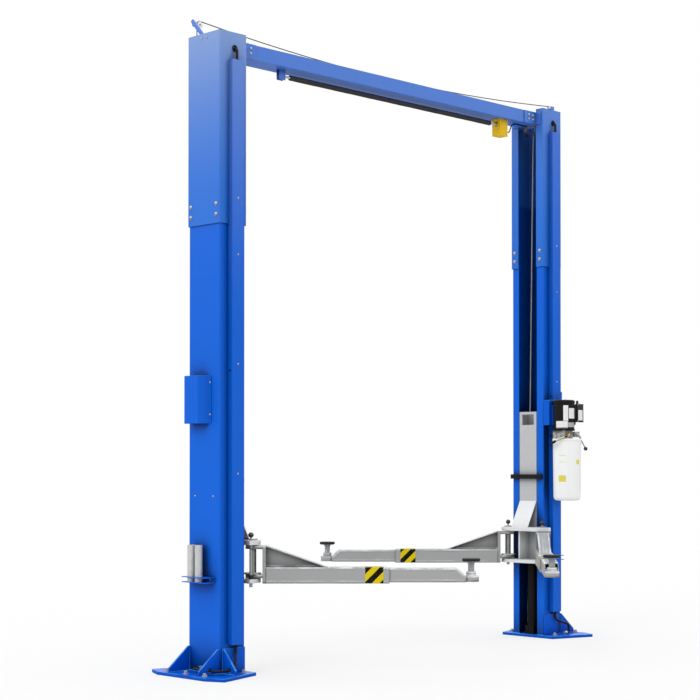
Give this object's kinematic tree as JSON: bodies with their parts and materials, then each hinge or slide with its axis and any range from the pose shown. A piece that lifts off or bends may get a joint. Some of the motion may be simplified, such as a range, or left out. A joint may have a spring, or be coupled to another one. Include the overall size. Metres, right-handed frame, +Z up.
{
  "type": "two post car lift",
  "caption": "Overhead-beam two post car lift: sleeved columns on base plates, carriages with telescoping swing arms and screw pads, power unit and shut-off bar.",
  "frame": {"origin": "on the floor, midway between the two columns, at the centre of the anchor pattern", "axes": "+X from the left column to the column with the power unit, +Y away from the side a car drives in from, +Z up"},
  "size_m": [3.48, 2.5106, 3.793],
  "materials": {
    "blue_paint": "satin powder coat",
    "silver_paint": "satin silver grey enamel",
    "bare_steel": "zinc plated",
    "pin_steel": "turned steel",
    "wire_rope": "galvanized strands",
    "black_paint": "semi gloss",
    "zinc": "zinc plated",
    "white_plastic": "moulded, slightly translucent",
    "cast_alloy": "as cast",
    "black_plastic": "moulded",
    "yellow_plastic": "moulded",
    "black_foam": "closed cell foam sleeve",
    "black_rubber": "smooth hose cover",
    "pad_rubber": "moulded"
  },
  "bodies": {
    "root": {"base_plates": "blue_paint", "column_left": "blue_paint", "sleeve_left": "blue_paint", "column_right": "blue_paint", "sleeve_right": "blue_paint", "hose_covers": "blue_paint", "base_gussets": "blue_paint", "overhead_beam": "blue_paint", "beam_brackets": "blue_paint", "cable_pulleys": "bare_steel", "pulley_brackets": "blue_paint", "equalizer_cable": "wire_rope", "lift_cylinders": "black_paint", "lock_covers": "blue_paint", "adapter_racks": "blue_paint", "pad_adapters": "bare_steel", "power_bracket": "blue_paint", "power_tank": "white_plastic", "power_pump": "cast_alloy", "power_motor": "black_paint", "control_box": "black_plastic", "shutoff_bracket": "blue_paint", "shutoff_switch": "yellow_plastic", "release_brackets": "blue_paint", "release_wheels": "bare_steel", "release_cable": "wire_rope", "hose_fittings": "bare_steel", "hoses": "black_rubber"},
    "shutoff_arm": {"shutoff_bar": "zinc", "shutoff_foam": "black_foam"},
    "lever": {"release_lever": "black_plastic"},
    "carriage_left": {"mast_left": "silver_paint", "arm_bracket_left": "silver_paint", "door_guard_left": "black_rubber", "arm_pins_left": "pin_steel"},
    "carriage_right": {"mast_right": "silver_paint", "arm_bracket_right": "silver_paint", "door_guard_right": "black_rubber", "arm_pins_right": "pin_steel"},
    "short_arm_left": {"short_outer_left": "silver_paint"},
    "short_reach_left": {"short_inner_left": "silver_paint"},
    "short_lift_pad_left": {"short_screw_left": "pin_steel", "short_pad_left": "pad_rubber"},
    "short_pin_left": {"short_lock_left": "pin_steel"},
    "long_arm_left": {"long_outer_left": "silver_paint"},
    "long_reach_left": {"long_inner_left": "silver_paint"},
    "long_lift_pad_left": {"long_screw_left": "pin_steel", "long_pad_left": "pad_rubber"},
    "long_pin_left": {"long_lock_left": "pin_steel"},
    "short_arm_right": {"short_outer_right": "silver_paint"},
    "short_reach_right": {"short_inner_right": "silver_paint"},
    "short_lift_pad_right": {"short_screw_right": "pin_steel", "short_pad_right": "pad_rubber"},
    "short_pin_right": {"short_lock_right": "pin_steel"},
    "long_arm_right": {"long_outer_right": "silver_paint"},
    "long_reach_right": {"long_inner_right": "silver_paint"},
    "long_lift_pad_right": {"long_screw_right": "pin_steel", "long_pad_right": "pad_rubber"},
    "long_pin_right": {"long_lock_right": "pin_steel"}
  },
  "joints": [
    {"name": "lift_left", "type": "slide", "parent": "root", "child": "carriage_left", "axis": [0, 0, 1], "range_m": [-0.42, 1.2]},
    {"name": "lift_right", "type": "slide", "parent": "root", "child": "carriage_right", "axis": [0, 0, 1], "range_m": [-0.42, 1.2]},
    {"name": "short_swing_left", "type": "hinge", "parent": "carriage_left", "child": "short_arm_left", "pos_m": [-1.288, -0.108, 0.64], "axis": [0, 0, 1], "range_deg": [-40, 10]},
    {"name": "short_extend_left", "type": "slide", "parent": "short_arm_left", "child": "short_reach_left", "axis": [0.7071, -0.7071, 0], "range_m": [-0.4, 0.12]},
    {"name": "short_raise_left", "type": "slide", "parent": "short_reach_left", "child": "short_lift_pad_left", "axis": [0, 0, 1], "range_m": [0, 0.04]},
    {"name": "short_unlock_left", "type": "slide", "parent": "carriage_left", "child": "short_pin_left", "axis": [0, 0, 1], "range_m": [0, 0.025], "stiffness_N_per_m": 800, "springref_m": -0.02},
    {"name": "long_swing_left", "type": "hinge", "parent": "carriage_left", "child": "long_arm_left", "pos_m": [-1.3, 0.19, 0.64], "axis": [0, 0, -1], "range_deg": [-44, 5]},
    {"name": "long_extend_left", "type": "slide", "parent": "long_arm_left", "child": "long_reach_left", "axis": [0.6428, 0.766, 0], "range_m": [-0.45, 0.04]},
    {"name": "long_raise_left", "type": "slide", "parent": "long_reach_left", "child": "long_lift_pad_left", "axis": [0, 0, 1], "range_m": [0, 0.04]},
    {"name": "long_unlock_left", "type": "slide", "parent": "carriage_left", "child": "long_pin_left", "axis": [0, 0, 1], "range_m": [0, 0.025], "stiffness_N_per_m": 800, "springref_m": -0.02},
    {"name": "short_swing_right", "type": "hinge", "parent": "carriage_right", "child": "short_arm_right", "pos_m": [1.288, 0.108, 0.64], "axis": [0, 0, 1], "range_deg": [-40, 10]},
    {"name": "short_extend_right", "type": "slide", "parent": "short_arm_right", "child": "short_reach_right", "axis": [-0.7071, 0.7071, 0], "range_m": [-0.4, 0.12]},
    {"name": "short_raise_right", "type": "slide", "parent": "short_reach_right", "child": "short_lift_pad_right", "axis": [0, 0, 1], "range_m": [0, 0.04]},
    {"name": "short_unlock_right", "type": "slide", "parent": "carriage_right", "child": "short_pin_right", "axis": [0, 0, 1], "range_m": [0, 0.025], "stiffness_N_per_m": 800, "springref_m": -0.02},
    {"name": "long_swing_right", "type": "hinge", "parent": "carriage_right", "child": "long_arm_right", "pos_m": [1.3, -0.19, 0.64], "axis": [0, 0, -1], "range_deg": [-44, 5]},
    {"name": "long_extend_right", "type": "slide", "parent": "long_arm_right", "child": "long_reach_right", "axis": [-0.7604, -0.6494, 0], "range_m": [-0.45, 0.04]},
    {"name": "long_raise_right", "type": "slide", "parent": "long_reach_right", "child": "long_lift_pad_right", "axis": [0, 0, 1], "range_m": [0, 0.04]},
    {"name": "long_unlock_right", "type": "slide", "parent": "carriage_right", "child": "long_pin_right", "axis": [0, 0, 1], "range_m": [0, 0.025], "stiffness_N_per_m": 800, "springref_m": -0.02},
    {"name": "bar_lift", "type": "hinge", "parent": "root", "child": "shutoff_arm", "pos_m": [-0.971, 0, 3.538], "axis": [0, -1, 0], "range_deg": [0, 0.25]},
    {"name": "lever_pull", "type": "hinge", "parent": "root", "child": "lever", "pos_m": [1.5353, -0.312, 1.404], "axis": [-1, 0, 0], "range_deg": [0, 20], "stiffness_Nm_per_rad": 1, "springref_deg": -17.19}
  ],
  "couplings": [
    {"joint": "lift_right", "follows": "lift_left", "ratio": 1}
  ]
}
